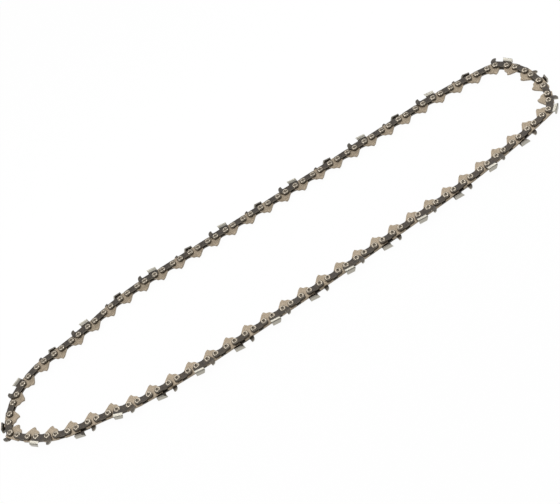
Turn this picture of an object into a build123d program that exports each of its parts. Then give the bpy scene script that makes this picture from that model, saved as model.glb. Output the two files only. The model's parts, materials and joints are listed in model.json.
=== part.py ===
from build123d import *
import math
import os

import numpy as np

# A chainsaw chain loop lying on its side, in millimetres, +Z up.
# Rivet axes are vertical. The loop runs clockwise seen from above as its rivets are counted,
# and the chain travels the other way, so the leading end of a link has the lower rivet number.

# Chain size
PITCH = 8.255                 # half the distance over three rivets in a row, the .325 inch size
DRIVE_SPACING = 7.2           # between the two rivets of a drive link
DRIVE_THICKNESS = 1.5         # the gauge, which sets the groove of the guide bar
SIDE_PLAY = 0.05              # between a drive link and the strap on each side

# Strap
STRAP_THICKNESS = 1.2
STRAP_EDGE = 2.95             # rivet line to its straight outer edge
STRAP_LOBE = 2.8              # rivet line to its inner edge at the rivets
STRAP_WAIST = 1.5             # rivet line to its inner edge halfway, where it is hollowed out
STRAP_END = 3.05              # rivet to the end of the strap
STRAP_CORNER = 1.9            # rivet to the corner of the outer edge, along the strap
LOBE_CORNER = 1.3             # rivet to the corner of the inner edge, along the strap
WAIST_LENGTH = 2.3            # bottom of the hollow

# Rivets
RIVET_RADIUS = 1.8
RIVET_SIDES = 5               # flats that stand for the round of a rivet that doesn't turn
RUNNING_FIT = 0.05            # radial room of a rivet in its drive link
SEAT_FIT = 0.02               # radial room of a rivet in the cutter that it is riveted to

# Drive link
DRIVE_CROWN = 3.9             # rivet line to its outer edge, which stands out past the straps
DRIVE_FRONT = 2.9             # leading rivet to the front of the link
DRIVE_BACK = 3.3              # trailing rivet to the back of the link
DRIVE_CORNER = 0.4            # both outer corners stand back this much
FRONT_DEPTH = 0.6             # rivet line to where the front turns towards the tang
HEEL_DEPTH = 2.3              # rivet line to where the back turns towards the tang
TANG_DEPTH = 8.2              # rivet line to the tip of the tang
TANG_TIP = 3.9                # tip of the tang behind the leading rivet
TANG_FLAT = 2.1               # blunt bottom of the tang, behind its tip
TANG_FLAT_RISE = 1.1          # the blunt bottom rises this much towards its heel
TANG_HOOK = 2.4               # root of the hook behind the leading rivet
HOOK_DEPTH = 5.9              # rivet line to the root of the hook
SHOULDER_LENGTH = 2.3         # front shoulder, up to the root of the hook
SHOULDER_DEPTH = 5.1          # rivet line to the front of the shoulder

# Cutter
GAUGE_SETTING = 0.5           # top of the depth gauge below the cutting corner
GAUGE_FRONT = 4.4             # depth gauge in front of the leading rivet
GAUGE_FOOT = 2.6              # rivet line to the foot of its front
GAUGE_BACK = 1.0              # its highest point, in front of the leading rivet
GAUGE_RAMP = 2.6              # length of the ramp on top of it
GAUGE_RISE = 1.1              # height of the ramp
GULLET_DEPTH = 3.7            # rivet line to the bottom of the gullet
TOOTH_FRONT = 4.8             # cutting corner behind the leading rivet
TOOTH_LENGTH = 7.9
TOOTH_HEIGHT = 7.7            # rivet line to the cutting corner
TOOTH_SINK = 0.9              # root of the side plate below the edge of the base
TOOTH_THICKNESS = 1.2
TOOTH_OUT = 3.3               # middle of the chain to the cutting corner
TOOTH_REACH = 0.9             # top plate past the middle of the chain
TOP_PLATE_DROP = 9.5          # degrees that the top plate falls towards its heel
TOP_PLATE_ANGLE = 25.0        # degrees of the filed edge across the top plate

# Loop as it lies, from the left end: a number of rivets and the degrees turned inwards at each
LOOP_BENDS = [
    (6, 8.4), (6, -1.6), (6, 2.4), (30, 0.0), (9, 1.2),
    (1, 37.4), (3, 12.2), (1, 2.8), (4, 10.4), (1, 38.2),
    (13, 0.8), (24, 0.1), (8, 0.7), (2, 5.1), (4, -1.5),
    (6, 5.9), (1, 6.5), (1, 50.3), (2, 12.3),
]

# Rigid runs of the loop and the first rivet of each; a run ends where the next one begins
RUNS = [
    ("back_left", 0),
    ("back_right", 31),
    ("right_end", 60),
    ("front_right", 67),
    ("front_left", 92),
    ("left_end", 120),
]
SETTLING_STEPS = 12           # rounds of correction that close the loop

# Worked out from the values above
STRAP_SPACING = 2 * PITCH - DRIVE_SPACING
GAUGE_HEIGHT = TOOTH_HEIGHT - GAUGE_SETTING
STRAP_INNER = DRIVE_THICKNESS / 2 + SIDE_PLAY
STRAP_OUTER = STRAP_INNER + STRAP_THICKNESS
TOOTH_ROOT = STRAP_EDGE - TOOTH_SINK
TOOTH_HEEL = TOOTH_FRONT + TOOTH_LENGTH
TOOTH_FALL = math.tan(math.radians(TOP_PLATE_DROP))
RIVETS = sum(count for count, degrees in LOOP_BENDS)
HINGES = [first for name, first in RUNS]
STRETCHES = list(zip(HINGES, HINGES[1:] + [HINGES[0] + RIVETS]))


def loop_points(bends):
    """Rivets of the loop as complex numbers, with the first one again at the end."""
    lengths = np.where(np.arange(RIVETS) % 2 == 0, DRIVE_SPACING, STRAP_SPACING)
    steps = lengths * np.exp(-1j * np.cumsum(bends))
    return np.concatenate([[0], np.cumsum(steps)])


def settled_loop():
    """The loop with the smallest change of its bends that closes it.

    Every second run and the runs between them each add up to a closed figure, so that the loop
    stays closed when every second run turns by one angle and the others keep their direction.
    """
    bends = np.radians(np.repeat([degrees for count, degrees in LOOP_BENDS],
                                 [count for count, degrees in LOOP_BENDS]))
    rivet = np.arange(RIVETS)
    for step in range(SETTLING_STEPS):
        points = loop_points(bends)
        misfits, slopes = [2 * math.pi - bends.sum()], [-np.ones(RIVETS)]
        for stretches in (STRETCHES[::2], STRETCHES[1::2]):
            gap = sum(points[end] - points[first] for first, end in stretches)
            turn = sum(np.where(rivet < end, points[end] - points[:-1], 0)
                       - np.where(rivet < first, points[first] - points[:-1], 0)
                       for first, end in stretches) * -1j
            misfits += [gap.real, gap.imag]
            slopes += [turn.real, turn.imag]
        bends = bends - np.linalg.pinv(np.array(slopes)) @ np.array(misfits)
    points = loop_points(bends)[:-1]
    points = points - points.mean()
    along = np.linalg.eigh(np.cov(points.real, points.imag))[1][:, -1]
    along = along if along[0] * (points[RIVETS // 2] - points[0]).real > 0 else -along
    return points * np.conj(complex(*along))


def plate(points, bottom, top):
    """Flat plate with a closed outline between two heights."""
    outline = Plane.XY.offset(bottom) * make_face(Polyline(*points, close=True))
    return extrude(outline, amount=top - bottom)


def rivet_section(room=0, turns=False, flats_outside=False):
    """Section of a rivet, truly round where it turns, or with room of the hole for one."""
    if turns:
        return Circle(RIVET_RADIUS + room)
    return RegularPolygon(RIVET_RADIUS + room, RIVET_SIDES, major_radius=not flats_outside)


def pair(sections, spacing, bottom, top):
    """Both rivets of a link or the holes for them, the leading one first."""
    places = [Pos(0, 0, bottom), Pos(spacing, 0, bottom)]
    return [extrude(place * section, amount=top - bottom) for place, section in zip(places, sections)]


def drive_link():
    """Middle plate with the tang that runs in the bar groove; its holes clear a turning rivet."""
    half = DRIVE_THICKNESS / 2
    back = DRIVE_SPACING + DRIVE_BACK
    outline = [
        (DRIVE_CORNER - DRIVE_FRONT, DRIVE_CROWN),
        (back - DRIVE_CORNER, DRIVE_CROWN),
        (back, -HEEL_DEPTH),
        (TANG_TIP + TANG_FLAT, TANG_FLAT_RISE - TANG_DEPTH),
        (TANG_TIP, -TANG_DEPTH),
        (TANG_HOOK, -HOOK_DEPTH),
        (TANG_HOOK - SHOULDER_LENGTH, -SHOULDER_DEPTH),
        (-DRIVE_FRONT, -FRONT_DEPTH),
    ]
    hole = rivet_section(RUNNING_FIT, flats_outside=True)
    return plate(outline, -half, half) - pair([hole, hole], DRIVE_SPACING, -half, half)


def inner_edge():
    """Inner edge of a strap, from its trailing to its leading end, hollowed out between the rivets."""
    middle, half = STRAP_SPACING / 2, WAIST_LENGTH / 2
    return [
        (STRAP_SPACING + STRAP_END, 0), (STRAP_SPACING + LOBE_CORNER, -STRAP_LOBE),
        (middle + half, -STRAP_WAIST), (middle - half, -STRAP_WAIST),
        (-LOBE_CORNER, -STRAP_LOBE), (-STRAP_END, 0),
    ]


def strap_outline():
    """Plain tie strap with blunt round ends and a straight outer edge."""
    return [(-STRAP_CORNER, STRAP_EDGE), (STRAP_SPACING + STRAP_CORNER, STRAP_EDGE), *inner_edge()]


def tie_link(turning):
    """Two tie straps riveted together, with their two rivets."""
    upper = plate(strap_outline(), STRAP_INNER, STRAP_OUTER)
    lower = plate(strap_outline(), -STRAP_OUTER, -STRAP_INNER)
    rivets = [rivet_section(turns=turns) for turns in turning]
    return upper + lower + pair(rivets, STRAP_SPACING, -STRAP_INNER, STRAP_INNER)


def cutter_strap(turning):
    """Tie strap on the low side with the two rivets that carry a left cutter."""
    strap = plate(strap_outline(), -STRAP_OUTER, -STRAP_INNER)
    rivets = [rivet_section(turns=turns) for turns in turning]
    return strap + pair(rivets, STRAP_SPACING, -STRAP_INNER, STRAP_OUTER)


def tooth():
    """Side plate that leans out and the top plate bent over the chain, with its filed edge."""
    eave = TOOTH_HEIGHT - TOOTH_THICKNESS
    knee = STRAP_EDGE
    profile = [
        (TOOTH_ROOT, STRAP_INNER), (TOOTH_ROOT, STRAP_OUTER), (knee, STRAP_OUTER),
        (TOOTH_HEIGHT, TOOTH_OUT), (TOOTH_HEIGHT, -TOOTH_REACH), (eave, -TOOTH_REACH),
        (eave, TOOTH_OUT - TOOTH_THICKNESS), (knee, STRAP_INNER),
    ]
    section = Plane.YZ.offset(TOOTH_FRONT) * make_face(Polyline(*profile, close=True))
    length = TOOTH_LENGTH * math.hypot(1, TOOTH_FALL)
    blank = extrude(section, amount=length, dir=Vector(1, -TOOTH_FALL, 0).normalized())
    slant = math.tan(math.radians(TOP_PLATE_ANGLE))
    filed = Plane(origin=(TOOTH_FRONT, 0, TOOTH_OUT), z_dir=(1, 0, slant))
    return split(blank, bisect_by=filed, keep=Keep.TOP)


def left_cutter(turning):
    """Cutter on the high side: riveted base, depth gauge in front, tooth behind."""
    outline = [
        (0, GULLET_DEPTH), (TOOTH_HEEL, TOOTH_ROOT - TOOTH_FALL * TOOTH_LENGTH), *inner_edge(),
        (-GAUGE_FRONT, GAUGE_FOOT), (-GAUGE_BACK - GAUGE_RAMP, GAUGE_HEIGHT - GAUGE_RISE),
        (-GAUGE_BACK, GAUGE_HEIGHT),
    ]
    seats = [rivet_section(SEAT_FIT, turns) for turns in turning]
    holes = pair(seats, STRAP_SPACING, STRAP_INNER, STRAP_OUTER)
    return plate(outline, STRAP_INNER, STRAP_OUTER) + tooth() - holes


def right_hand(make):
    """The same piece for a right cutter, mirrored to the other side of the chain."""
    return lambda turning: mirror(make(turning), about=Plane.XY)


# Pieces of each kind of link, in the order of the links after a drive link
DRIVE_PIECES = [("drive_links", lambda turning: drive_link())]
LEFT_PIECES = [("left_cutters", left_cutter), ("cutter_straps", cutter_strap)]
RIGHT_PIECES = [("right_cutters", right_hand(left_cutter)), ("cutter_straps", right_hand(cutter_strap))]
TIE_PIECES = [("tie_links", tie_link)]
LINK_ORDER = [
    DRIVE_PIECES, LEFT_PIECES, DRIVE_PIECES, TIE_PIECES,
    DRIVE_PIECES, RIGHT_PIECES, DRIVE_PIECES, TIE_PIECES,
]


def link_place(points, number):
    """Place of a link: origin at its leading rivet, X to its trailing rivet, Y outwards."""
    lead, trail = points[number % RIVETS], points[(number + 1) % RIVETS]
    return Location((lead.real, lead.imag, 0), (0, 0, math.degrees(np.angle(trail - lead))))


def chain_groups(points):
    """Solids of the chain by node name, one node for each kind of piece in each run."""
    groups = {}
    made = {}
    for (run, first), (first, end) in zip(RUNS, STRETCHES):
        for number in range(first, end):
            turning = (number % RIVETS in HINGES, (number + 1) % RIVETS in HINGES)
            for kind, make in LINK_ORDER[number % len(LINK_ORDER)]:
                if (make, turning) not in made:
                    made[make, turning] = make(turning).solid()
                solid = made[make, turning].moved(link_place(points, number))
                groups.setdefault(f"{kind}_{run}", []).append(solid)
    return groups


def resting_place(groups):
    """Move that sets the chain on the ground, centred over the origin."""
    boxes = [solid.bounding_box() for solids in groups.values() for solid in solids]
    low = np.min([tuple(box.min) for box in boxes], axis=0)
    high = np.max([tuple(box.max) for box in boxes], axis=0)
    return Location((-(low[0] + high[0]) / 2, -(low[1] + high[1]) / 2, -low[2]))


points = settled_loop()
groups = chain_groups(points)
rest = resting_place(groups)
os.makedirs("parts", exist_ok=True)
for node, solids in groups.items():
    export_step(Compound([solid.moved(rest) for solid in solids]), f"parts/{node}.step")
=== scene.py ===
import cmath
import json
import math
from collections import namedtuple
from itertools import combinations

import bmesh
import bpy
import numpy as np
from mathutils import Matrix, Vector
from mathutils.geometry import convex_hull_2d


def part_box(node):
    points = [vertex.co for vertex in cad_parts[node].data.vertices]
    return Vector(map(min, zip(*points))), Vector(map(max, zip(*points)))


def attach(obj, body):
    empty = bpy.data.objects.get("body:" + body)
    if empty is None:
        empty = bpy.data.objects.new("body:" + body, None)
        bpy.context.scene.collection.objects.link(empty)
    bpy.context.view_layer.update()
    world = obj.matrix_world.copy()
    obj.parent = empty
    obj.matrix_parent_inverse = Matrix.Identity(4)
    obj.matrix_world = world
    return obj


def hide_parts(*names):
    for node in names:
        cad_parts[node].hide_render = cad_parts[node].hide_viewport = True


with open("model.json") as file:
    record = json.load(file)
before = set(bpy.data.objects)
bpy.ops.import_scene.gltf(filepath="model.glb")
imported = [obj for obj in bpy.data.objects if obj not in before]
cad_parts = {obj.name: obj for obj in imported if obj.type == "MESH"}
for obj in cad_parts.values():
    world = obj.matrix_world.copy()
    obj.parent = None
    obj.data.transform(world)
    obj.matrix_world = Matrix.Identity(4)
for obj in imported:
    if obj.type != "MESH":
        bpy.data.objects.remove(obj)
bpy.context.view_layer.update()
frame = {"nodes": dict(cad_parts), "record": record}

# A saw chain loop on its side. Sizes are in millimetres in the frame of one link:
# X from its leading to its trailing rivet, Y outwards from the loop, Z up from the middle plane.

MM = 0.001

# Straps
STRAP_SPACING = 9.31          # between the two rivets of a strap
STRAP_THICKNESS = 1.2
STRAP_INNER = 0.8             # middle plane to the inner face of a strap
STRAP_OUTER = STRAP_INNER + STRAP_THICKNESS
STRAP_EDGE = 2.95             # rivet line to its straight outer edge
STRAP_LOBE = 2.8              # rivet line to its inner edge at the rivets
STRAP_WAIST = 1.5             # rivet line to the bottom of the hollow in its inner edge
STRAP_END = 3.05              # rivet to the end of the strap
STRAP_CORNER = 1.9            # rivet to the corner of the outer edge, along the strap
LOBE_CORNER = 1.3             # rivet to the corner of the inner edge, along the strap
WAIST_LENGTH = 2.3
CORNER_ROUND = 1.9
LOBE_ROUND = 1.8
END_ROUND = 3.0
WAIST_ROUND = 8.0

# Drive links
DRIVE_SPACING = 7.2
DRIVE_THICKNESS = 1.5
HOLE_RADIUS = 1.85
HOLE_SIDES = 16
DRIVE_CORNERS = [             # x, y and radius: crown, heel, tang with its hook, shoulder, front
    (-2.5, 3.9, 0.9), (10.1, 3.9, 0.9), (10.5, -2.3, 2.0), (6.0, -7.1, 0.9),
    (3.9, -8.2, 0.4), (2.4, -5.9, 1.2), (0.1, -5.1, 0.8), (-2.9, -0.6, 2.5),
]

# Rivets
RIVET_RADIUS = 1.8
RIVET_SIDES = 16
HEAD_PROFILE = [              # radius and height over the strap, from the hollow to the rim
    (1.0, 0.20), (1.45, 0.52), (2.05, 0.46), (2.42, 0.0),
]

# Cutters
GAUGE_CORNERS = [             # x, y and radius: fin of the depth gauge, down to the gullet
    (-4.4, 2.6, 1.6), (-4.1, 5.2, 2.4), (-2.9, 6.9, 1.8), (-0.9, 7.25, 0.4), (-0.7, 3.7, 0.9),
]
TOOTH_FRONT = 4.8             # cutting corner behind the leading rivet
TOOTH_HEEL = 12.7
HEEL_FOOT = 0.73              # rivet line to the foot of the heel
TOOTH_KNEE = 3.7              # rivet line to where the side plate starts to lean out
TOOTH_TOP = 7.7               # rivet line to the top plate at the cutting corner
TOOTH_OUT = 3.3               # middle plane to the outside of the fold
FOLD_RADIUS = 1.0
FOLD_CORNER = 3.65            # where the side plate and the top plate would meet without the fold
TOP_PLATE_REACH = 0.9         # top plate past the middle plane
TOOTH_FALL = math.tan(math.radians(9.5))
TOP_PLATE_SLANT = math.tan(math.radians(25))
TOOTH_HOLLOW = 0.5            # round filing of the side plate's front
FILED_BACK = 0.8              # underside of the cutting edge, filed back
TOOTH_STEPS = 4               # faces along the tooth
PLATING_EDGE = 4.6            # rivet line to where the plating starts, at the cutting corner
FREE_EDGE_SHARE = 0.3         # share of chrome on the free edge of the top plate, which is kept darker
GAUGE_WORN_FROM = 3.6         # rivet line to where the depth gauge is worn
GAUGE_RIM_SHARE = 0.75        # bare metal on the rim of the depth gauge
GAUGE_FACE_SHARE = 0.08       # bare metal on its faces

# Edges and marks
EDGE_ROUND = 0.14             # rounding that tumbling leaves on every stamped edge
EDGE_SEGMENTS = 2
EDGE_FROM = math.radians(40)  # corners sharper than this are rounded
PLATE_SMOOTH = math.radians(20)
RIVET_SMOOTH = math.radians(60)
WALL_TILT = 0.7               # upward share of a normal, under which a face is a sheared wall
ARC_STEP = math.radians(15)
SHEET_WELD = 1e-4             # points of a sheet closer than this become one
MODEL_WELD = 1e-7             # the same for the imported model, in metres
EDGE_MARK = 1
INSIDE_MARK = 2

# Finishes, as linear colours
TAN_STEEL = (0.30, 0.248, 0.182)
TAN_STEEL_DARK = (0.235, 0.19, 0.136)
TAN_STEEL_ROSE = (0.33, 0.268, 0.20)
TAN_STEEL_EDGE = (0.46, 0.405, 0.33)
RIVET_STEEL = (0.385, 0.34, 0.275)
RIVET_STEEL_DARK = (0.065, 0.053, 0.039)
BLUED_STEEL = (0.061, 0.053, 0.046)
BLUED_STEEL_DARK = (0.038, 0.033, 0.028)
BLUED_STEEL_BROWN = (0.074, 0.058, 0.042)
# Worn edges of the blued steel, and the painted light on its walls
BLUED_STEEL_WORN_AND_LIT = (0.19, 0.16, 0.12)
CHROME = (0.42, 0.40, 0.345)
CHROME_DULL = (0.37, 0.35, 0.30)
TAN_METALLIC = 0.85
RIVET_METALLIC = 0.95
BLUED_METALLIC = 0.7
CHROME_METALLIC = 1.0

# Unevenness of the finishes: scale of each noise, over millimetres of the piece's own frame
TAN_CLOUD = 0.35
TAN_GRAIN = 1.6
TAN_GRAIN_STRETCH = (0.6, 5, 5)
RIVET_CLOUD = 0.8
RIVET_RINGS = 26.0            # turns of the spun rings, in radians for each millimetre
BLUED_CLOUD = 0.5
BLUED_PATCH = 0.22
BLUED_SPECK = 4.0
CHROME_LINES = 2.0
CHROME_LINES_STRETCH = (0.4, 7, 7)
LINK_SHIFT = 90.0             # carries the noise on to another place for each link

# Noise or radius from and to, and the share or roughness that they give
TAN_CLOUD_SHARE = (0.35, 0.75, 0.0, 1.0)
TAN_GRAIN_SHARE = (0.45, 0.8, 0.0, 0.25)
TAN_ROUGHNESS = (0.2, 0.8, 0.34, 0.48)
RIVET_CLOUD_SHARE = (0.35, 0.75, 0.0, 0.45)
# Painted shade: the hollow middle of a rivet head darkened
RIVET_HOLLOW_SHADE = (0.95, 1.6, 0.9, 0.0)
RIVET_ROUGHNESS = (0.2, 0.8, 0.1, 0.22)
BLUED_PATCH_SHARE = (0.4, 0.65, 0.0, 1.0)
BLUED_CLOUD_SHARE = (0.35, 0.7, 0.0, 1.0)
BLUED_SPECK_SHARE = (0.6, 0.8, 0.0, 0.4)
BLUED_ROUGHNESS = (0.2, 0.8, 0.32, 0.5)
CHROME_LINES_SHARE = (0.4, 0.75, 0.0, 1.0)
CHROME_ROUGHNESS = (0.2, 0.8, 0.22, 0.34)

# Bright steel on marked faces: worn edges, and painted light on the walls of the blued steel
TAN_EDGE_SHARE = 0.7
BLUED_EDGE_SHARE = 0.75
# Painted light: the walls of the blued steel made lighter, as if lit
BLUED_WALL_PAINTED_LIGHT = 0.5

# Fine relief: strength, and depth in millimetres
TAN_RELIEF = (0.15, 0.03)
RIVET_RELIEF = (0.12, 0.03)
BLUED_RELIEF = (0.2, 0.02)
CHROME_RELIEF = (0.1, 0.02)

# Camera, set on the middle of the photograph
IMAGE_WIDTH = 560
FOCAL_PIXELS = 1041.9
SENSOR_WIDTH = 36.0
VIEW_TARGET = Vector((-0.00059, -0.00311, 0.0054))
VIEW_DISTANCE = 0.7952
VIEW_AZIMUTH = math.radians(-7.0)
VIEW_ELEVATION = math.radians(49.49)
VIEW_ROLL = math.radians(-28.30)
CLIP_NEAR = 0.01
CLIP_FAR = 40.0

# Studio
FLOOR_HALF = 12.0
FLOOR_WHITE = 0.9
FLOOR_LIFT = 0.97             # share of the floor that shows plain white, the rest takes the shadow
WORLD_GREY = 0.42
SOFTBOXES = [                 # name, place, width, height in metres and power in watts
    ("softbox_back", (0.1, 1.5, 0.5), 2.4, 0.55, 9.4),
    ("softbox_left", (-0.55, 0.0, 0.86), 0.28, 0.4, 1.9),
    ("softbox_right", (0.55, 0.0, 0.86), 0.28, 0.4, 1.9),
    ("softbox_near", (0.0, 0.17, 0.27), 1.0, 0.10, 0.78),
]
SEED = 20


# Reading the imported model

Link = namedtuple("Link", "kind body lead trail")


def solids_of(node):
    """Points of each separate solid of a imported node."""
    shell = bmesh.new()
    shell.from_mesh(frame["nodes"][node].data)
    bmesh.ops.remove_doubles(shell, verts=shell.verts, dist=MODEL_WELD)
    shell.verts.index_update()
    seen = set()
    solids = []
    for seed in shell.verts:
        if seed.index in seen:
            continue
        seen.add(seed.index)
        found = [seed]
        for point in found:
            for edge in point.link_edges:
                other = edge.other_vert(point)
                if other.index not in seen:
                    seen.add(other.index)
                    found.append(other)
        solids.append(np.array([point.co for point in found]))
    shell.free()
    return solids


def strap_rivets(points):
    """Both rivet centres of a strap, in from the two points of its outline that are farthest apart."""
    flat = sorted({tuple(round(float(value), 7) for value in point[:2]) for point in points})
    outline = [np.array(flat[corner]) for corner in convex_hull_2d(flat)]
    first, last = max(combinations(outline, 2), key=lambda ends: np.linalg.norm(ends[1] - ends[0]))
    inset = (last - first) * STRAP_END / (STRAP_SPACING + 2 * STRAP_END)
    return first + inset, last - inset


def node_body(node):
    """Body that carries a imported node."""
    bodies = frame["record"]["behaviour"]["bodies"]
    return next(body for body, members in bodies.items() if node in members)


def nodes_of(kind):
    """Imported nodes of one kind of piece, with their solids."""
    nodes = [node for node in sorted(frame["nodes"]) if node.startswith(kind)]
    return [(node, solid) for node in nodes for solid in solids_of(node)]


def strap_links():
    """Every link with straps, in the order of the loop and clockwise from above."""
    cutters = [(hand, solid.mean(axis=0)[:2]) for hand in ("left", "right")
               for node, solid in nodes_of(f"{hand}_cutters")]
    loose = []
    for kind in ("tie_links", "cutter_straps"):
        for node, solid in nodes_of(kind):
            ends = strap_rivets(solid)
            middle = (ends[0] + ends[1]) / 2
            hand = min(cutters, key=lambda cutter: np.linalg.norm(cutter[1] - middle))[0]
            loose.append(Link("tie" if kind == "tie_links" else hand, node_body(node), *ends))
    ordered = [loose.pop(0)]
    while loose:
        last = ordered[-1].trail
        near = min(range(len(loose)), key=lambda number: min(
            np.linalg.norm(loose[number].lead - last), np.linalg.norm(loose[number].trail - last)))
        link = loose.pop(near)
        if np.linalg.norm(link.trail - last) < np.linalg.norm(link.lead - last):
            link = link._replace(lead=link.trail, trail=link.lead)
        ordered.append(link)
    ring = np.array([link.lead for link in ordered])
    after = np.roll(ring, -1, axis=0)
    area = np.sum(ring[:, 0] * after[:, 1] - ring[:, 1] * after[:, 0])
    if area > 0:
        ordered = [link._replace(lead=link.trail, trail=link.lead) for link in reversed(ordered)]
    return ordered


def drive_links(straps):
    """Drive links between the straps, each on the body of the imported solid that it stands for."""
    packed = [(node_body(node), solid.mean(axis=0)[:2]) for node, solid in nodes_of("drive_links")]
    links = []
    for before, after in zip(straps, straps[1:] + straps[:1]):
        middle = (before.trail + after.lead) / 2
        body = min(packed, key=lambda entry: np.linalg.norm(entry[1] - middle))[0]
        links.append(Link("drive", body, before.trail, after.lead))
    return links


# Shaping one piece of each kind

def rounded(corners):
    """Closed outline through corners given as x, y and radius, with an arc at each."""
    outline = []
    neighbours = zip(corners[-1:] + corners[:-1], corners, corners[1:] + corners[:1])
    for before, (x, y, radius), after in neighbours:
        if radius == 0:
            outline.append((x, y))
            continue
        corner = complex(x, y)
        into = complex(*before[:2]) - corner
        out = complex(*after[:2]) - corner
        into, out = into / abs(into), out / abs(out)
        half = abs(cmath.phase(out / into)) / 2
        middle = (into + out) / abs(into + out)
        centre = corner + middle * radius / math.sin(half)
        start = corner + into * radius / math.tan(half) - centre
        end = corner + out * radius / math.tan(half) - centre
        turn = cmath.phase(end / start)
        steps = max(1, round(abs(turn) / ARC_STEP))
        for step in range(steps + 1):
            point = centre + start * cmath.exp(1j * turn * step / steps)
            outline.append((point.real, point.imag))
    return outline


def rivet_holes(spacing):
    """Outlines of the two rivet holes of a link."""
    turns = [2 * math.pi * side / HOLE_SIDES for side in range(HOLE_SIDES)]
    return [[(x + HOLE_RADIUS * math.cos(turn), HOLE_RADIUS * math.sin(turn)) for turn in turns]
            for x in (0, spacing)]


def fill_outline(shell, loops, height):
    """Flat face inside the first loop and outside the others, at one height, facing up."""
    edges = []
    for loop in loops:
        points = [shell.verts.new((x, y, height)) for x, y in loop]
        edges += [shell.edges.new(pair) for pair in zip(points, points[1:] + points[:1])]
    filled = bmesh.ops.triangle_fill(shell, edges=edges, use_beauty=True, normal=(0, 0, 1))
    faces = [face for face in filled["geom"] if isinstance(face, bmesh.types.BMFace)]
    for face in faces:
        if face.normal.z < 0:
            face.normal_flip()
    return faces


def flat_plate(loops, thickness):
    """Stamped plate with an outline and holes, its middle at zero height."""
    shell = bmesh.new()
    faces = fill_outline(shell, loops, thickness / 2)
    bottom = bmesh.ops.extrude_face_region(shell, geom=faces, use_keep_orig=True)
    moved = [point for point in bottom["geom"] if isinstance(point, bmesh.types.BMVert)]
    bmesh.ops.translate(shell, verts=moved, vec=(0, 0, -thickness))
    bmesh.ops.recalc_face_normals(shell, faces=shell.faces)
    return shell


def shaped_mesh(source):
    """Plain mesh of an object with its modifiers carried out."""
    depsgraph = bpy.context.evaluated_depsgraph_get()
    return bpy.data.meshes.new_from_object(source.evaluated_get(depsgraph), preserve_all_data_layers=True,
                                           depsgraph=depsgraph)


def marked_object(name, shell):
    """Object of a shell with a slot for each mark on its faces."""
    mesh = bpy.data.meshes.new(name)
    shell.to_mesh(mesh)
    shell.free()
    for mark in (0, EDGE_MARK, INSIDE_MARK):
        mesh.materials.append(None)
    made = bpy.data.objects.new(name, mesh)
    bpy.context.collection.objects.link(made)
    return made


def add_marks(mesh, title, values):
    """Values of a mark, one for each face of a mesh."""
    mesh.attributes.new(title, "FLOAT", "FACE").data.foreach_set("value", values)


def piece_object(name, shell, smooth_to=PLATE_SMOOTH, edge_round=EDGE_ROUND):
    """Template of a piece in metres: rounded edges, marks on its faces, its own frame in millimetres."""
    piece = marked_object(name, shell)
    if edge_round:
        bevel = piece.modifiers.new("tumbled edges", "BEVEL")
        bevel.width = edge_round
        bevel.segments = EDGE_SEGMENTS
        bevel.limit_method = "ANGLE"
        bevel.angle_limit = EDGE_FROM
        bevel.material = EDGE_MARK
    mesh = shaped_mesh(piece)
    piece.modifiers.clear()
    piece.data = mesh
    bpy.context.collection.objects.unlink(piece)
    marks = np.zeros(len(mesh.polygons), np.int32)
    mesh.polygons.foreach_get("material_index", marks)
    for title, mark in (("edge", EDGE_MARK), ("inside", INSIDE_MARK)):
        add_marks(mesh, title, (marks == mark).astype(np.float32))
    mesh.polygons.foreach_set("material_index", np.zeros_like(marks))
    mesh.materials.clear()
    # Upright walls, which the blued steel makes lighter as painted light
    add_marks(mesh, "wall", [float(abs(face.normal.z) < WALL_TILT) for face in mesh.polygons])
    points = np.zeros(len(mesh.vertices) * 3, np.float32)
    mesh.vertices.foreach_get("co", points)
    mesh.attributes.new("own", "FLOAT_VECTOR", "POINT").data.foreach_set("vector", points)
    mesh.transform(Matrix.Scale(MM, 4))
    mesh.polygons.foreach_set("use_smooth", np.ones(len(marks), bool))
    mesh.set_sharp_from_angle(angle=smooth_to)
    return piece


def drive_link_piece():
    """Middle plate: straight crown, fuller heel, hooked tang."""
    loops = [rounded(DRIVE_CORNERS)] + rivet_holes(DRIVE_SPACING)
    return piece_object("drive_link", flat_plate(loops, DRIVE_THICKNESS))


def inner_edge():
    """Inner edge of a strap from its trailing to its leading end, hollowed out between the rivets."""
    middle, half = STRAP_SPACING / 2, WAIST_LENGTH / 2
    return [
        (STRAP_SPACING + STRAP_END, 0, END_ROUND),
        (STRAP_SPACING + LOBE_CORNER, -STRAP_LOBE, LOBE_ROUND),
        (middle + half, -STRAP_WAIST, WAIST_ROUND),
        (middle - half, -STRAP_WAIST, WAIST_ROUND),
        (-LOBE_CORNER, -STRAP_LOBE, LOBE_ROUND),
        (-STRAP_END, 0, END_ROUND),
    ]


def strap_piece():
    """Tie strap with round ends, a straight outer edge and a hollowed inner edge."""
    outer_edge = [(-STRAP_CORNER, STRAP_EDGE, CORNER_ROUND),
                  (STRAP_SPACING + STRAP_CORNER, STRAP_EDGE, CORNER_ROUND)]
    return piece_object("strap", flat_plate([rounded(outer_edge + inner_edge())], STRAP_THICKNESS))


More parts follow.
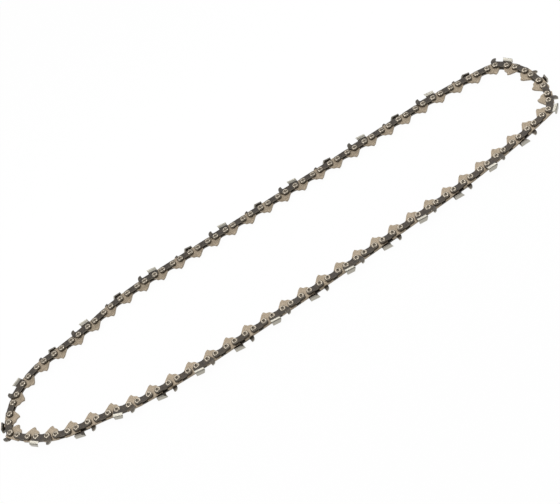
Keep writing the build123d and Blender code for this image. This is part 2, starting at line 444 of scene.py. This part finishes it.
def tooth_rows():
    """Outside of the tooth, row by row: up the leaning side plate, round the fold, along the top plate."""
    rise = (PLATING_EDGE - TOOTH_KNEE) / (TOOTH_TOP - TOOTH_KNEE)
    profile = rounded([
        (TOOTH_KNEE, STRAP_OUTER, 0),
        (PLATING_EDGE, STRAP_OUTER + rise * (FOLD_CORNER - STRAP_OUTER), 0),
        (TOOTH_TOP, FOLD_CORNER, FOLD_RADIUS),
        (TOOTH_TOP, -TOP_PLATE_REACH, 0),
    ])
    rows = []
    for y, z in profile:
        rise = (y - TOOTH_KNEE) / (TOOTH_TOP - TOOTH_KNEE)
        front = TOOTH_FRONT + (TOOTH_OUT - z) * TOP_PLATE_SLANT + TOOTH_HOLLOW * 4 * rise * (1 - rise)
        along = [front + (TOOTH_HEEL - front) * step / TOOTH_STEPS for step in range(TOOTH_STEPS + 1)]
        rows.append([(x, y - TOOTH_FALL * (x - TOOTH_FRONT), z) for x in along])
    return rows


def cutter_sheet():
    """Outside of a left cutter as one sheet: riveted base with its depth gauge, and the folded tooth."""
    rows = tooth_rows()
    root = [(x, y, 0) for x, y, z in rows[0]]
    base = rounded(inner_edge() + GAUGE_CORNERS + root + [(TOOTH_HEEL, HEEL_FOOT, 0)])
    shell = bmesh.new()
    front = shell.verts.layers.int.new("front")
    fill_outline(shell, [base] + rivet_holes(STRAP_SPACING), STRAP_OUTER)
    grid = [[shell.verts.new(point) for point in row] for row in rows]
    for row in grid[1:]:
        row[0][front] = 1
    for lower, upper in zip(grid, grid[1:]):
        for a, b, c, d in zip(lower, lower[1:], upper[1:], upper):
            shell.faces.new((a, b, c, d))
    bmesh.ops.remove_doubles(shell, verts=shell.verts, dist=SHEET_WELD)
    return shell


def cutter_piece():
    """Left cutter: the sheet with its thickness, its cutting edge filed back underneath."""
    sheet = marked_object("cutter_sheet", cutter_sheet())
    outside = len(sheet.data.vertices)
    solid = sheet.modifiers.new("sheet thickness", "SOLIDIFY")
    solid.thickness = STRAP_THICKNESS
    solid.offset = -1
    solid.use_even_offset = True
    solid.material_offset = INSIDE_MARK
    thick = shaped_mesh(sheet)
    bpy.data.objects.remove(sheet)
    front = thick.attributes["front"]
    for point in thick.vertices[outside:]:
        point.co.x += FILED_BACK * front.data[point.index].value
    thick.attributes.remove(front)
    shell = bmesh.new()
    shell.from_mesh(thick)
    bpy.data.meshes.remove(thick)
    piece = piece_object("left_cutter", shell)
    mark_plating(piece.data)
    return piece


def mark_plating(mesh):
    """Share of bright metal on each face: plated outside the tooth, worn on the depth gauge."""
    inside = [mark.value for mark in mesh.attributes["inside"].data]
    plated = []
    for face, hidden in zip(mesh.polygons, inside):
        place = face.center / MM
        level = place.y + TOOTH_FALL * (place.x - TOOTH_FRONT)
        if place.x < 0 and place.y > GAUGE_WORN_FROM:
            flat = abs(face.normal.z) > WALL_TILT
            plated.append(GAUGE_FACE_SHARE if flat else GAUGE_RIM_SHARE)
        elif hidden or place.x < TOOTH_FRONT or level < PLATING_EDGE:
            plated.append(0.0)
        else:
            free_edge = place.z < EDGE_ROUND - TOP_PLATE_REACH
            plated.append(FREE_EDGE_SHARE if free_edge else 1.0)
    add_marks(mesh, "plated", plated)


def mirrored_piece(piece, name):
    """The same piece for the other side of the chain."""
    mesh = piece.data.copy()
    mesh.transform(Matrix.Scale(-1, 4, (0, 0, 1)))
    mesh.flip_normals()
    return bpy.data.objects.new(name, mesh)


def rivet_piece():
    """Rivet with a spun head on each side, turned round the Z axis."""
    side = [(radius, STRAP_OUTER + height) for radius, height in HEAD_PROFILE]
    side.append((RIVET_RADIUS, STRAP_OUTER))
    rings = side + [(radius, -z) for radius, z in reversed(side)]
    shell = bmesh.new()
    turns = [2 * math.pi * number / RIVET_SIDES for number in range(RIVET_SIDES)]
    grid = [[shell.verts.new((radius * math.cos(turn), radius * math.sin(turn), z)) for turn in turns]
            for radius, z in rings]
    for upper, lower in zip(grid, grid[1:]):
        for number in range(RIVET_SIDES):
            after = (number + 1) % RIVET_SIDES
            shell.faces.new((upper[number], lower[number], lower[after], upper[after]))
    shell.faces.new(grid[0])
    shell.faces.new(grid[-1][::-1])
    bmesh.ops.recalc_face_normals(shell, faces=shell.faces)
    return piece_object("rivet", shell, smooth_to=RIVET_SMOOTH, edge_round=0)


# Placing the pieces round the loop

def placing_tree():
    """Geometry nodes that set a piece on every place, turned by the place's own angle."""
    tree = bpy.data.node_groups.new("set_pieces_on_links", "GeometryNodeTree")
    tree.interface.new_socket("Places", in_out="INPUT", socket_type="NodeSocketGeometry")
    tree.interface.new_socket("Piece", in_out="INPUT", socket_type="NodeSocketObject")
    tree.interface.new_socket("Finish", in_out="INPUT", socket_type="NodeSocketMaterial")
    tree.interface.new_socket("Pieces", in_out="OUTPUT", socket_type="NodeSocketGeometry")
    inputs = tree.nodes.new("NodeGroupInput")
    info = tree.nodes.new("GeometryNodeObjectInfo")
    info.inputs["As Instance"].default_value = True
    turn = tree.nodes.new("GeometryNodeInputNamedAttribute")
    turn.data_type = "FLOAT"
    turn.inputs["Name"].default_value = "turn"
    angles = tree.nodes.new("ShaderNodeCombineXYZ")
    rotation = tree.nodes.new("FunctionNodeEulerToRotation")
    instances = tree.nodes.new("GeometryNodeInstanceOnPoints")
    realize = tree.nodes.new("GeometryNodeRealizeInstances")
    finish = tree.nodes.new("GeometryNodeSetMaterial")
    output = tree.nodes.new("NodeGroupOutput")
    joined = [
        (inputs.outputs["Places"], instances.inputs["Points"]),
        (inputs.outputs["Piece"], info.inputs["Object"]),
        (info.outputs["Geometry"], instances.inputs["Instance"]),
        (turn.outputs["Attribute"], angles.inputs["Z"]),
        (angles.outputs["Vector"], rotation.inputs["Euler"]),
        (rotation.outputs["Rotation"], instances.inputs["Rotation"]),
        (instances.outputs["Instances"], realize.inputs["Geometry"]),
        (realize.outputs["Geometry"], finish.inputs["Geometry"]),
        (inputs.outputs["Finish"], finish.inputs["Material"]),
        (finish.outputs["Geometry"], output.inputs["Pieces"]),
    ]
    for start, end in joined:
        tree.links.new(start, end)
    return tree


def set_pieces(name, tree, piece, places, finish):
    """One mesh with a piece at each place, given as x, y, z and turn."""
    points = bpy.data.meshes.new(f"{name}_places")
    points.from_pydata([place[:3] for place in places], [], [])
    turns = [place[3] for place in places]
    shades = shade_draws.random(len(places)).astype(np.float32)
    for title, values in (("turn", turns), ("shade", shades)):
        points.attributes.new(title, "FLOAT", "POINT").data.foreach_set("value", values)
    made = bpy.data.objects.new(name, points)
    bpy.context.collection.objects.link(made)
    modifier = made.modifiers.new("links", "NODES")
    modifier.node_group = tree
    sockets = {socket.name: socket.identifier for socket in tree.interface.items_tree}
    modifier[sockets["Piece"]] = piece
    modifier[sockets["Finish"]] = finish
    mesh = shaped_mesh(made)
    made.modifiers.clear()
    made.data = mesh
    bpy.data.meshes.remove(points)
    return made


def link_place(link, side=0.0):
    """Place of a link's own frame: its leading rivet and direction, at a height over the middle plane."""
    along = link.trail - link.lead
    return (*link.lead, middle_height + side * MM, math.atan2(along[1], along[0]))


# Finishes

def nodes_for(material_name):
    """New material with an empty tree, its shader joined to the output."""
    material = bpy.data.materials.new(material_name)
    material.use_nodes = True
    tree = material.node_tree
    tree.nodes.clear()
    shader = tree.nodes.new("ShaderNodeBsdfPrincipled")
    output = tree.nodes.new("ShaderNodeOutputMaterial")
    tree.links.new(shader.outputs["BSDF"], output.inputs["Surface"])
    return material, tree, shader


def feed(tree, socket, value):
    """A value or another node's output goes into a socket."""
    if isinstance(value, bpy.types.NodeSocket):
        tree.links.new(value, socket)
    else:
        socket.default_value = value


def attribute(tree, name, output="Fac"):
    """A mark or size that the mesh carries."""
    node = tree.nodes.new("ShaderNodeAttribute")
    node.attribute_name = name
    return node.outputs[output]


def marked(tree, name, share):
    """Share of another finish on the faces that carry a mark."""
    return arithmetic(tree, "MULTIPLY", attribute(tree, name), share)


def noise(tree, vector, scale, detail, roughness=0.6):
    """Even noise from 0 to 1."""
    node = tree.nodes.new("ShaderNodeTexNoise")
    feed(tree, node.inputs["Vector"], vector)
    node.inputs["Scale"].default_value = scale
    node.inputs["Detail"].default_value = detail
    node.inputs["Roughness"].default_value = roughness
    return node.outputs["Fac"]


def ranged(tree, value, low, high, to_low, to_high):
    """A range of values carried over to another."""
    node = tree.nodes.new("ShaderNodeMapRange")
    feed(tree, node.inputs["Value"], value)
    sockets = ("From Min", "From Max", "To Min", "To Max")
    for socket, number in zip(sockets, (low, high, to_low, to_high)):
        node.inputs[socket].default_value = number
    return node.outputs["Result"]


def arithmetic(tree, operation, first, second=0.0):
    """Sum, product or the like of two values."""
    node = tree.nodes.new("ShaderNodeMath")
    node.operation = operation
    feed(tree, node.inputs[0], first)
    feed(tree, node.inputs[1], second)
    return node.outputs["Value"]


def blended(tree, share, first, second):
    """Mix of two colours."""
    node = tree.nodes.new("ShaderNodeMix")
    node.data_type = "RGBA"
    feed(tree, node.inputs["Factor"], share)
    for socket, colour in (("A", first), ("B", second)):
        target = next(entry for entry in node.inputs if entry.name == socket and entry.type == "RGBA")
        feed(tree, target, colour if isinstance(colour, bpy.types.NodeSocket) else (*colour, 1))
    return next(entry for entry in node.outputs if entry.type == "RGBA")


def own_grain(tree, stretch=(1, 1, 1)):
    """Coordinates in the piece's own frame, stretched along it and different on every link."""
    shift = arithmetic(tree, "MULTIPLY", attribute(tree, "shade"), LINK_SHIFT)
    place = tree.nodes.new("ShaderNodeVectorMath")
    place.operation = "MULTIPLY"
    feed(tree, place.inputs[0], attribute(tree, "own", "Vector"))
    place.inputs[1].default_value = stretch
    moved = tree.nodes.new("ShaderNodeVectorMath")
    moved.operation = "ADD"
    feed(tree, moved.inputs[0], place.outputs["Vector"])
    feed(tree, moved.inputs[1], shift)
    return moved.outputs["Vector"]


def bumped(tree, shader, height, strength, depth):
    """Fine relief on a shader."""
    node = tree.nodes.new("ShaderNodeBump")
    node.inputs["Strength"].default_value = strength
    node.inputs["Distance"].default_value = depth * MM
    feed(tree, node.inputs["Height"], height)
    feed(tree, shader.inputs["Normal"], node.outputs["Normal"])


def tan_steel():
    """Tempered bare steel of the drive links, straw tinted, with a rolled grain and bright edges."""
    material, tree, shader = nodes_for("tan_tempered_steel")
    cloud = noise(tree, own_grain(tree), TAN_CLOUD, detail=3)
    grain = noise(tree, own_grain(tree, TAN_GRAIN_STRETCH), TAN_GRAIN, detail=4)
    tint = blended(tree, attribute(tree, "shade"), TAN_STEEL, TAN_STEEL_ROSE)
    colour = blended(tree, ranged(tree, cloud, *TAN_CLOUD_SHARE), tint, TAN_STEEL_DARK)
    lit = blended(tree, ranged(tree, grain, *TAN_GRAIN_SHARE), colour, TAN_STEEL_EDGE)
    worn = blended(tree, marked(tree, "edge", TAN_EDGE_SHARE), lit, TAN_STEEL_EDGE)
    feed(tree, shader.inputs["Base Color"], worn)
    shader.inputs["Metallic"].default_value = TAN_METALLIC
    feed(tree, shader.inputs["Roughness"], ranged(tree, grain, *TAN_ROUGHNESS))
    bumped(tree, shader, grain, *TAN_RELIEF)
    return material


def blued_colour(tree, speck):
    """Dark oxide, uneven and different on every link, worn lighter at the edges, and lighter on the
    sheared walls as painted light.
    """
    cloud = noise(tree, own_grain(tree), BLUED_CLOUD, detail=4)
    patch = noise(tree, own_grain(tree), BLUED_PATCH, detail=2)
    tint = blended(tree, ranged(tree, patch, *BLUED_PATCH_SHARE), BLUED_STEEL, BLUED_STEEL_BROWN)
    colour = blended(tree, ranged(tree, cloud, *BLUED_CLOUD_SHARE), tint, BLUED_STEEL_DARK)
    rubbed = blended(tree, ranged(tree, speck, *BLUED_SPECK_SHARE), colour, BLUED_STEEL_WORN_AND_LIT)
    # Painted light: the upright walls made lighter, as if lit
    lit_walls = blended(tree, marked(tree, "wall", BLUED_WALL_PAINTED_LIGHT), rubbed, BLUED_STEEL_WORN_AND_LIT)
    return blended(tree, marked(tree, "edge", BLUED_EDGE_SHARE), lit_walls, BLUED_STEEL_WORN_AND_LIT)


def blued_steel():
    """Oxide finish of the straps."""
    material, tree, shader = nodes_for("blued_steel")
    speck = noise(tree, own_grain(tree), BLUED_SPECK, detail=3)
    feed(tree, shader.inputs["Base Color"], blued_colour(tree, speck))
    shader.inputs["Metallic"].default_value = BLUED_METALLIC
    feed(tree, shader.inputs["Roughness"], ranged(tree, speck, *BLUED_ROUGHNESS))
    bumped(tree, shader, speck, *BLUED_RELIEF)
    return material


def rivet_steel():
    """Rivet heads with the rings that spinning leaves, the hollow middle darkened as painted shade."""
    material, tree, shader = nodes_for("spun_rivet_steel")
    flat = tree.nodes.new("ShaderNodeVectorMath")
    flat.operation = "MULTIPLY"
    feed(tree, flat.inputs[0], attribute(tree, "own", "Vector"))
    flat.inputs[1].default_value = (1, 1, 0)
    length = tree.nodes.new("ShaderNodeVectorMath")
    length.operation = "LENGTH"
    feed(tree, length.inputs[0], flat.outputs["Vector"])
    radius = length.outputs["Value"]
    rings = arithmetic(tree, "SINE", arithmetic(tree, "MULTIPLY", radius, RIVET_RINGS))
    # Painted shade in the hollow middle of each head
    hollow = ranged(tree, radius, *RIVET_HOLLOW_SHADE)
    cloud = noise(tree, own_grain(tree), RIVET_CLOUD, detail=3)
    colour = blended(tree, ranged(tree, cloud, *RIVET_CLOUD_SHARE), RIVET_STEEL, RIVET_STEEL_DARK)
    feed(tree, shader.inputs["Base Color"], blended(tree, hollow, colour, RIVET_STEEL_DARK))
    shader.inputs["Metallic"].default_value = RIVET_METALLIC
    feed(tree, shader.inputs["Roughness"], ranged(tree, cloud, *RIVET_ROUGHNESS))
    bumped(tree, shader, rings, *RIVET_RELIEF)
    return material


def cutter_finish():
    """Cutters: blued base and depth gauge, hard chrome outside the tooth with fine grinding lines."""
    material, tree, shader = nodes_for("chromed_cutter_steel")
    speck = noise(tree, own_grain(tree), BLUED_SPECK, detail=3)
    lines = noise(tree, own_grain(tree, CHROME_LINES_STRETCH), CHROME_LINES, detail=3)
    plated = attribute(tree, "plated")
    bare = arithmetic(tree, "SUBTRACT", 1.0, plated)
    chrome = blended(tree, ranged(tree, lines, *CHROME_LINES_SHARE), CHROME, CHROME_DULL)
    feed(tree, shader.inputs["Base Color"], blended(tree, plated, blued_colour(tree, speck), chrome))
    feed(tree, shader.inputs["Metallic"], ranged(tree, plated, 0.0, 1.0, BLUED_METALLIC, CHROME_METALLIC))
    dull = arithmetic(tree, "MULTIPLY", ranged(tree, speck, *BLUED_ROUGHNESS), bare)
    bright = arithmetic(tree, "MULTIPLY", ranged(tree, lines, *CHROME_ROUGHNESS), plated)
    feed(tree, shader.inputs["Roughness"], arithmetic(tree, "ADD", dull, bright))
    bumped(tree, shader, lines, *CHROME_RELIEF)
    return material


def floor_finish():
    """White floor that keeps the soft shadow of the chain."""
    material = bpy.data.materials.new("white_floor")
    material.use_nodes = True
    tree = material.node_tree
    tree.nodes.clear()
    matt = tree.nodes.new("ShaderNodeBsdfDiffuse")
    matt.inputs["Color"].default_value = (FLOOR_WHITE, FLOOR_WHITE, FLOOR_WHITE, 1)
    white = tree.nodes.new("ShaderNodeEmission")
    path = tree.nodes.new("ShaderNodeLightPath")
    seen = arithmetic(tree, "MAXIMUM", path.outputs["Is Camera Ray"],
                      arithmetic(tree, "MAXIMUM", path.outputs["Is Glossy Ray"],
                                 path.outputs["Is Transmission Ray"]))
    mix = tree.nodes.new("ShaderNodeMixShader")
    feed(tree, mix.inputs["Fac"], arithmetic(tree, "MULTIPLY", seen, FLOOR_LIFT))
    tree.links.new(matt.outputs["BSDF"], mix.inputs[1])
    tree.links.new(white.outputs["Emission"], mix.inputs[2])
    output = tree.nodes.new("ShaderNodeOutputMaterial")
    tree.links.new(mix.outputs["Shader"], output.inputs["Surface"])
    return material


# Studio

def add_floor():
    """Large white floor that the chain lies on."""
    mesh = bpy.data.meshes.new("floor")
    half = FLOOR_HALF
    corners = [(-half, -half, 0), (half, -half, 0), (half, half, 0), (-half, half, 0)]
    mesh.from_pydata(corners, [], [(0, 1, 2, 3)])
    mesh.materials.append(floor_finish())
    floor = bpy.data.objects.new("floor", mesh)
    bpy.context.collection.objects.link(floor)


def add_softbox(name, place, width, height, power):
    """Wide area light that faces the middle of the chain."""
    light = bpy.data.lights.new(name, "AREA")
    light.shape = "RECTANGLE"
    light.size = width
    light.size_y = height
    light.energy = power
    lamp = bpy.data.objects.new(name, light)
    lamp.location = place
    lamp.visible_camera = False
    lamp.rotation_euler = (-Vector(place)).to_track_quat("-Z", "Y").to_euler()
    bpy.context.collection.objects.link(lamp)


def add_world():
    """Even grey studio."""
    world = bpy.data.worlds.new("studio")
    world.use_nodes = True
    background = world.node_tree.nodes["Background"]
    background.inputs["Color"].default_value = (WORLD_GREY, WORLD_GREY, WORLD_GREY, 1)
    bpy.context.scene.world = world


def add_camera():
    """Camera of the photograph: above the near strand, rolled so that the loop rises to the right."""
    back = Vector((math.sin(VIEW_AZIMUTH) * math.cos(VIEW_ELEVATION),
                   -math.cos(VIEW_AZIMUTH) * math.cos(VIEW_ELEVATION), math.sin(VIEW_ELEVATION)))
    level = Vector((math.cos(VIEW_AZIMUTH), math.sin(VIEW_AZIMUTH), 0))
    upright = back.cross(level)
    right = math.cos(VIEW_ROLL) * level + math.sin(VIEW_ROLL) * upright
    lens = bpy.data.cameras.new("camera")
    lens.sensor_width = SENSOR_WIDTH
    lens.lens = FOCAL_PIXELS * SENSOR_WIDTH / IMAGE_WIDTH
    lens.clip_start = CLIP_NEAR
    lens.clip_end = CLIP_FAR
    camera = bpy.data.objects.new("camera", lens)
    turned = Matrix((right, back.cross(right), back)).transposed()
    camera.matrix_world = Matrix.Translation(VIEW_TARGET + back * VIEW_DISTANCE) @ turned.to_4x4()
    bpy.context.collection.objects.link(camera)
    bpy.context.scene.camera = camera


# The chain

shade_draws = np.random.default_rng(SEED)
low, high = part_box("drive_links_back_left")
middle_height = (low.z + high.z) / 2
straps = strap_links()
drives = drive_links(straps)
tree = placing_tree()
drive_finish = tan_steel()
strap_finish = blued_steel()
head_finish = rivet_steel()
tooth_finish = cutter_finish()
drive_link = drive_link_piece()
strap = strap_piece()
rivet = rivet_piece()
left_cutter = cutter_piece()
right_cutter = mirrored_piece(left_cutter, "right_cutter")
strap_side = (STRAP_INNER + STRAP_OUTER) / 2

for body in frame["record"]["behaviour"]["bodies"]:
    own_straps = [link for link in straps if link.body == body]
    own_drives = [link for link in drives if link.body == body]
    ties = [link for link in own_straps if link.kind == "tie"]
    lefts = [link for link in own_straps if link.kind == "left"]
    rights = [link for link in own_straps if link.kind == "right"]
    tie_places = [link_place(link, side) for link in ties for side in (strap_side, -strap_side)]
    counter_places = [link_place(link, -strap_side) for link in lefts]
    counter_places += [link_place(link, strap_side) for link in rights]
    rivet_places = [(*end, middle_height, 0.0) for link in own_straps for end in (link.lead, link.trail)]
    drive_places = [link_place(link) for link in own_drives]
    left_places = [link_place(link) for link in lefts]
    right_places = [link_place(link) for link in rights]
    sets = [
        ("drive_plates", drive_link, drive_places, drive_finish, "drive_links", "drive_steel"),
        ("tie_plates", strap, tie_places, strap_finish, "tie_links", "strap_steel"),
        ("cutter_strap_plates", strap, counter_places, strap_finish, "cutter_straps", "strap_steel"),
        ("left_teeth", left_cutter, left_places, tooth_finish, "left_cutters", "cutter_chrome"),
        ("right_teeth", right_cutter, right_places, tooth_finish, "right_cutters", "cutter_chrome"),
        ("rivets", rivet, rivet_places, head_finish, None, "drive_steel"),
    ]
    for name, piece, places, finish, node, slot in sets:
        made = set_pieces(f"{name}_{body}", tree, piece, places, finish)
        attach(made, body)
        if node:
            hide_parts(f"{node}_{body}")

for piece in (drive_link, strap, rivet, left_cutter, right_cutter):
    bpy.data.objects.remove(piece)

add_floor()
add_world()
for softbox in SOFTBOXES:
    add_softbox(*softbox)
add_camera()
bpy.context.scene.view_settings.view_transform = "Standard"
